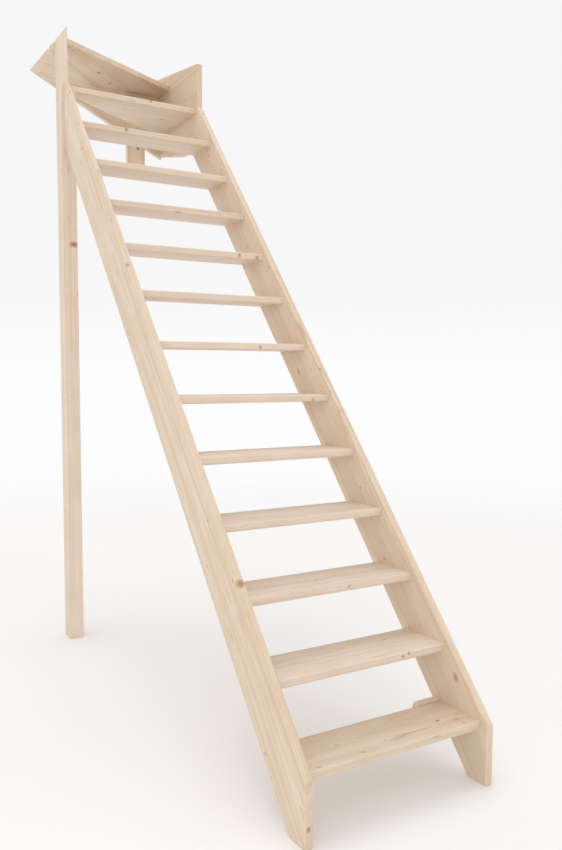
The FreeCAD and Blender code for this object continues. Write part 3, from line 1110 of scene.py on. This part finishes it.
@dataclass
class WinderTurn:
    """Two winder treads, the boards that carry their outer ends, and the batten."""

    nosing_radius: float = 0.005
    tread_arris: float = 0.0015
    board_arris: float = 0.002
    first_inner_depth: float = 0.039
    first_corner_gap: float = 0.006
    second_turn: float = 343 / 652
    second_back_start: float = 0.327
    right_top_slope: float = 0.13
    right_bottom_slope: float = 0.21
    right_bottom_flat: float = 0.134
    right_bottom_height: float = 0.003
    stringer_slope: float = 200 / 170
    back_top_slope: float = 0.117

    FIRST_KNOTS = (
        Knot(0.547, 0.173, 0.008, 1.8, 0.9), Knot(0.304, 0.06, 0.004),
        Knot(0.414, 0.0, 0.006, 1.2, 0.9, 0.024, 0.008),
    )
    SECOND_KNOTS = (
        Knot(0.399, -0.003, 0.009, 1.8, 1.0), Knot(0.552, 0.01, 0.007, 1.5, 1.0),
        Knot(0.802, -0.114, 0.004),
    )
    RIGHT_KNOTS = (Knot(0.32, 0.49, 0.005, 1.6, 0.6),)
    BACK_KNOTS = (Knot(0.22, 0.05, 0.005), Knot(0.48, -0.12, 0.004))
    BATTEN_KNOTS = (Knot(0.126, 0.059, 0.008, 1.3, 1.0),)

    def build(self) -> None:
        """Saw every board of the turn."""
        self.newel_low, self.newel_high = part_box("newel_post")
        self.inner_x = self.newel_low.x + NEWEL_UPPER_WIDTH
        self.right_low, self.right_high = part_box("right_winder_board")
        self.back_low, self.back_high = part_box("back_winder_board")
        self.first = self._first_tread()
        self.second = self._second_tread()
        self.right = self._right_board()
        self.back = self._back_board()
        self.batten = self._batten()

    def _first_tread(self) -> Piece:
        """Make the first winder tread, slanted at the back.

        Returns:
            The tread.
        """
        low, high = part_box("winder_tread_13")
        tread = plank("winder_tread_13_board", low, high)
        start = Vector((self.inner_x, low.y + self.first_inner_depth, low.z))
        end = Vector((self.right_low.x - self.first_corner_gap, high.y, low.z))
        run = end - start
        saw(tread, start, Vector((-run.y, run.x, 0)))
        round_over(tread, in_nosing(low, -CLIMB), self.nosing_radius)
        ease(tread, self.tread_arris)
        self._clear_corner(tread, low, high)
        return tread

    def _clear_corner(self, tread: Piece, low: Vector, high: Vector) -> None:
        """Notch a tread where the right and the back board meet."""
        start = Vector((self.right_low.x, self.back_low.y, low.z)) - UP * OVERCUT
        notch(tread, start, high + EVERY_WAY * OVERCUT)

    def _second_tread(self) -> Piece:
        """Make the top winder tread: slanted nosing and back, cut out round the newel.

        Returns:
            The tread.
        """
        low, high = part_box("winder_tread_14")
        tread = plank("winder_tread_14_board", low - ACROSS * OVERCUT, high)
        front = Vector((self.second_turn, -1, 0))
        nosing = Vector((self.inner_x, low.y, low.z))
        saw(tread, nosing, front)
        back_left = Vector((low.x, self.back_low.y - self.second_back_start, low.z))
        saw(tread, back_left, CLIMB - ACROSS)
        round_over(tread, in_nosing(nosing, front), self.nosing_radius)
        ease(tread, self.tread_arris)
        saw(tread, low, -ACROSS)
        newel_corner = Vector((self.inner_x, self.newel_high.y, high.z)) + UP * OVERCUT
        notch(tread, low - EVERY_WAY * OVERCUT, newel_corner)
        self._clear_corner(tread, low, high)
        return tread

    def _right_board(self) -> Piece:
        """Make the board beside the turn, which carries on the stringer's lower edge.

        Returns:
            The board.
        """
        low, high = self.right_low, self.right_high
        board = plank("right_winder_board_piece", low, high)
        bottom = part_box("tread_12")[1].z + self.right_bottom_height
        flat_start = low.y + (bottom - low.z) / self.stringer_slope
        flat_end = flat_start + self.right_bottom_flat
        lift = UP * (bottom - low.z)
        rear_lift = lift + UP * (high.y - flat_end) * self.right_bottom_slope
        for place in (flat_start, flat_end):
            mark_out(board, Vector((0, place, 0)), CLIMB)
        for place, offset in ((flat_start, lift), (flat_end, lift), (high.y, rear_lift)):
            corners = in_plane(CLIMB * place, CLIMB), in_plane(low, UP)
            shift(board, lambda ends: all(test(ends) for test in corners), offset)
        saw(board, Vector((0, high.y, high.z)), UP - CLIMB * self.right_top_slope)
        ease(board, self.board_arris)
        return board

    def _back_board(self) -> Piece:
        """Make the board behind the turn, sawn to a slant at the exit.

        Returns:
            The board.
        """
        low, high = self.back_low, self.back_high
        board = plank("back_winder_board_piece", low, high)
        exit_point = Vector((low.x, low.y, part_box("winder_tread_14")[1].z))
        run = Vector((high.x, low.y, low.z)) - exit_point
        saw(board, exit_point, Vector((run.z, 0, -run.x)))
        slant_x = low.x + (high.z - exit_point.z) / EXIT_SLOPE
        saw(board, Vector((slant_x, low.y, high.z)), UP + ACROSS * self.back_top_slope)
        ease(board, self.board_arris)
        saw(board, exit_point, UP - ACROSS * EXIT_SLOPE)
        return board

    def _batten(self) -> Piece:
        """Make the batten that hangs on the back board's inner face.

        Returns:
            The batten.
        """
        low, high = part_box("hanging_batten")
        batten = plank("hanging_batten_piece", low, high)
        ease(batten, self.board_arris)
        return batten

    def join(self, last_tread: Piece) -> None:
        """Cut the housings, also the one of the last straight tread, and then the bores.

        Args:
            last_tread: The last straight tread, which the turn's boards hold as well.
        """
        carve(self.back, self.first, self.second, "corner_screws", "batten_screws")
        carve(self.right, last_tread, self.first, self.second, self.back)
        carve(self.right, "right_tread_dowels", "winder_tread_dowels")
        carve(self.right, "stringer_joint_dowels", "corner_screws", "corner_screw_plugs")
        carve(self.batten, "batten_screws")

    def drill_treads(self) -> None:
        """Bore the winder treads, after the housings have been cut with them."""
        for tread in (self.first, self.second):
            carve(tread, "winder_tread_dowels")

    def dress(self) -> None:
        """Finish and hand over every board of the turn."""
        dip = Vector((0, math.cos(math.radians(3)), -math.sin(math.radians(3))))
        lean = Vector((1, 0, -self.back_top_slope))
        turned = ACROSS + CLIMB
        boards = (
            (self.first, "winder_tread_13", ACROSS, CLIMB, 4.12, Slot.TREAD, self.FIRST_KNOTS),
            (self.second, "winder_tread_14", turned, CLIMB - ACROSS, 7.81, Slot.TREAD,
             self.SECOND_KNOTS),
            (self.right, "right_winder_board", dip, UP + CLIMB * math.tan(math.radians(3)), 2.93,
             Slot.WINDER_BOARD, self.RIGHT_KNOTS),
            (self.back, "back_winder_board", lean, UP + ACROSS * self.back_top_slope, 6.55,
             Slot.WINDER_BOARD, self.BACK_KNOTS),
            (self.batten, "hanging_batten", UP, ACROSS, 0.71, Slot.BATTEN, self.BATTEN_KNOTS),
        )
        for piece, node, along, across, seed, slot, knots in boards:
            wood = PALE_SPRUCE if piece is self.first else SPRUCE
            material = wood.material(node, Grain.of(node, along, across), seed, knots)
            hand_over(piece, [node], slot, material)


@dataclass
class Fasteners:
    """Dowels and hidden screws from the model, and the plugs and screw heads that show."""

    rim: float = 0.0006
    recess_depth: float = 0.0016
    recess_width: float = 0.0014
    beech: SpruceFinish = field(default_factory=lambda: replace(
        SPRUCE, early=paint(214, 184, 150), late=paint(196, 160, 124), band=paint(200, 166, 130),
        strip_width=1.0, ring_width=0.0018, flecks=0.0,
    ))
    steel: SteelFinish = field(default_factory=SteelFinish)

    def build(self) -> None:
        """Turn the plugs and the batten's screws."""
        self.newel_plugs = self._plugs("newel_screw_plugs", CLIMB, UP, 2)
        self.corner_plugs = self._plugs("corner_screw_plugs", ACROSS, UP, 3)
        self.screws = self._batten_screws()

    def _plugs(self, node: str, axis: Vector, row: Vector, count: int) -> Piece:
        """Turn a node's row of plugs, with a fine chamfer round their outer ends.

        Args:
            node: The plugs' CAD node.
            axis: The direction of a plug.
            row: The direction of the row.
            count: How many plugs there are.

        Returns:
            The plugs as one piece.
        """
        low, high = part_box(node)
        size = high - low
        length = abs(size.dot(axis))
        radius = (size - axis * length - row * size.dot(row)).length / 2
        middle, travel = (low + high) / 2, size.dot(row) - 2 * radius
        made = []
        for number in range(count):
            centre = middle + row * (number / (count - 1) - 0.5) * travel
            made.append(self._plug(centre, axis, radius, length))
        return self._as_one(made, node + "_turned")

    def _plug(self, centre: Vector, axis: Vector, radius: float, length: float) -> Piece:
        """Turn one plug.

        Args:
            centre: The middle of the plug.
            axis: Its direction, towards its outer end.
            radius: Its radius.
            length: Its length.

        Returns:
            The plug.
        """
        plug = primitive(
            "cylinder", vertices=48, radius=radius, depth=length, location=centre,
            rotation=axis.to_track_quat("Z", "Y").to_euler(),
        )
        pick(plug, "FACE", in_plane(centre + axis * length / 2, axis))
        with editing(plug):
            bpy.ops.mesh.bevel(offset=self.rim, segments=2, affect="EDGES")
        return plug

    def _batten_screws(self) -> Piece:
        """Turn the countersunk screws of the batten, with a cross recess in each head.

        Returns:
            The screws as one piece.
        """
        low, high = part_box("batten_screws")
        head_radius = (high.x - low.x) / 2
        made = []
        for height in (low.z + head_radius, high.z - head_radius):
            face = Vector(((low.x + high.x) / 2, low.y, height))
            made.append(self._screw(face, head_radius, high.y - low.y))
        return self._as_one(made, "batten_screws_turned")

    def _screw(self, face: Vector, head_radius: float, length: float) -> Piece:
        """Turn one screw from its head's face along +Y.

        Args:
            face: The middle of the head's face.
            head_radius: The radius of the head.
            length: The length with the head.

        Returns:
            The screw.
        """
        head_height, shank_radius, point, point_width = 0.003, 0.0025, 0.006, 0.12
        screw = primitive(
            "cone", vertices=40, radius1=shank_radius, radius2=head_radius, depth=head_height,
            location=face + CLIMB * head_height / 2, rotation=(math.radians(90), 0, 0),
        )
        pick(screw, "FACE", in_plane(face + CLIMB * head_height, CLIMB))
        with editing(screw):
            for run in (length - head_height - point, point):
                bpy.ops.mesh.extrude_region_move(TRANSFORM_OT_translate={"value": (0, run, 0)})
            bpy.ops.transform.resize(value=(point_width, 1, point_width))
        arm, slot = head_radius * 0.55, self.recess_width / 2
        for half_x, half_z in ((arm, slot), (slot, arm)):
            reach = Vector((half_x, self.recess_depth, half_z))
            notch(screw, face - reach, face + reach)
        return screw

    def _as_one(self, made: list[Piece], name: str) -> Piece:
        """Join copies that share a CAD node into one piece.

        Args:
            made: The copies.
            name: The joined piece's name.

        Returns:
            The joined piece.
        """
        choose(*made)
        bpy.ops.object.join()
        joined = bpy.context.active_object
        joined.name = joined.data.name = name
        return joined

    def dress(self) -> None:
        """Finish the turned pieces and the CAD nodes that stay."""
        for piece, node, axis in (
            (self.newel_plugs, "newel_screw_plugs", UP),
            (self.corner_plugs, "corner_screw_plugs", CLIMB),
        ):
            side = ACROSS if axis is UP else UP
            material = self.beech.material(node, Grain.of(node, axis, side), 0.4)
            hand_over(piece, [node], Slot.PLUG, material)
        steel = self.steel.material("batten_screws", CLIMB)
        hand_over(self.screws, ["batten_screws"], Slot.SCREW, steel)
        for name, axis, side in (
            ("left_tread", ACROSS, CLIMB), ("right_tread", ACROSS, CLIMB),
            ("winder_tread", ACROSS, CLIMB), ("stringer_joint", CLIMB, ACROSS),
        ):
            node = name + "_dowels"
            self._dress_node(node, self.beech.material(node, Grain.of(node, axis, side), 0.6))
        for node, axis in (("newel_screws", CLIMB), ("corner_screws", ACROSS)):
            self._dress_node(node, self.steel.material(node, axis))

    def _dress_node(self, node: str, material: Material) -> None:
        """Give a CAD node its finish.

        Args:
            node: The CAD node's name.
            material: Its finish.
        """
        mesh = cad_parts[node].data
        mesh.materials.clear()
        mesh.materials.append(material)
        log.info("%s: CAD node kept, %s", node, material.name)


# ---- The studio ----


@dataclass
class Studio:
    """A pale floor, soft light and the camera."""

    floor_size: float = 60.0
    paper: tuple[Colour, Colour] = (paint(243, 241, 240), paint(245, 244, 243))
    paper_end: tuple[float, float] = (2.0, 7.5)
    eye_white: Colour = paint(254, 253, 254)
    sky_white: Colour = paint(247, 247, 247)
    standpoint: Vector = field(default_factory=lambda: Vector((-1.498, -3.0434, 1.2975)))
    heading: float = 31.33
    tilt: float = -4.65
    roll: float = 0.2
    lens: float = 34.71
    shift_x: float = 0.0008
    shift_y: float = 0.0128

    def build(self) -> None:
        """Set up the floor, the lights, the surroundings and the camera."""
        self._floor()
        self._surroundings()
        self._light("front", Vector((-4.5, -8.5, 4.0)), 5.0, 100, (1.0, 0.99, 0.97))
        self._light("side", Vector((-4.5, -1.0, 1.2)), 3.0, 8, (1.0, 0.99, 0.975))
        self._light("top", Vector((-0.8, 1.0, 10.0)), 6.0, 140, (1.0, 0.995, 0.985))
        self._camera()
        bpy.context.scene.view_settings.view_transform = "Standard"

    def _floor(self) -> None:
        """Lay the floor: paper with a faint unevenness, that fades into the white far off."""
        floor = primitive("plane", size=self.floor_size)
        floor.name = "studio_floor"
        material, graph, shader = new_material("studio_paper")
        place = graph.add("TexCoord").outputs["Object"]
        cloud = graph.rise(graph.noise(place, 0.5, 2.0), 0.3, 0.7)
        graph.feed(shader, {
            "Base Color": graph.mix(cloud, *self.paper),
            "Alpha": graph.fall(graph.length(place), *self.paper_end),
            "Roughness": 0.9, "Specular IOR Level": 0.1,
        })
        floor.data.materials.append(material)

    def _surroundings(self) -> None:
        """Surround the scene with a white that is brightest at eye level."""
        world = bpy.data.worlds.new("studio_white")
        bpy.context.scene.world = world
        world.use_nodes = True
        graph = Graph(world.node_tree)
        background = graph.tree.nodes["Background"]
        direction = graph.add("TexCoord").outputs["Generated"]
        height = graph.rise(graph.parts(direction)[2], -0.02, 0.13)
        graph.feed(background, {"Color": graph.mix(height, self.eye_white, self.sky_white)})

    def _light(
        self, name: str, place: Vector, size: float, power: float, colour: tuple[float, ...]
    ) -> None:
        """Hang a soft box that looks at the middle of the stair.

        Args:
            name: The lamp's name.
            place: Where it hangs.
            size: The side of its square.
            power: Its power in watts.
            colour: The colour of its light.
        """
        lamp = bpy.data.lights.new(name, "AREA")
        lamp.shape = "DISK"
        lamp.size = size
        lamp.energy = power
        lamp.color = colour
        holder = bpy.data.objects.new(name, lamp)
        bpy.context.scene.collection.objects.link(holder)
        holder.location = place
        middle = (CAD_BOX[0] + CAD_BOX[1]) / 2
        holder.rotation_euler = (middle - place).to_track_quat("-Z", "Y").to_euler()

    def _camera(self) -> None:
        """Stand the camera in front of the stair's left side."""
        data = bpy.data.cameras.new("camera")
        data.lens = self.lens
        data.shift_x = self.shift_x
        data.shift_y = self.shift_y
        data.clip_end = 200
        camera = bpy.data.objects.new("camera", data)
        bpy.context.scene.collection.objects.link(camera)
        camera.location = self.standpoint
        angles = (90 + self.tilt, -self.roll, -self.heading)
        camera.rotation_euler = [math.radians(angle) for angle in angles]
        bpy.context.scene.camera = camera


def main() -> None:
    """Build the stair and the studio in order."""
    logging.basicConfig(level=logging.INFO, format="%(name)s: %(message)s")
    flight, newel, turn, fasteners = Flight(), Newel(), WinderTurn(), Fasteners()
    for assembly in (flight, newel, turn, fasteners):
        assembly.build()
    flight.join()
    newel.join()
    turn.join(flight.treads[-1])
    flight.drill_treads()
    turn.drill_treads()
    for assembly in (flight, newel, turn, fasteners):
        assembly.dress()
    Studio().build()


if __name__ == "__main__":
    main()
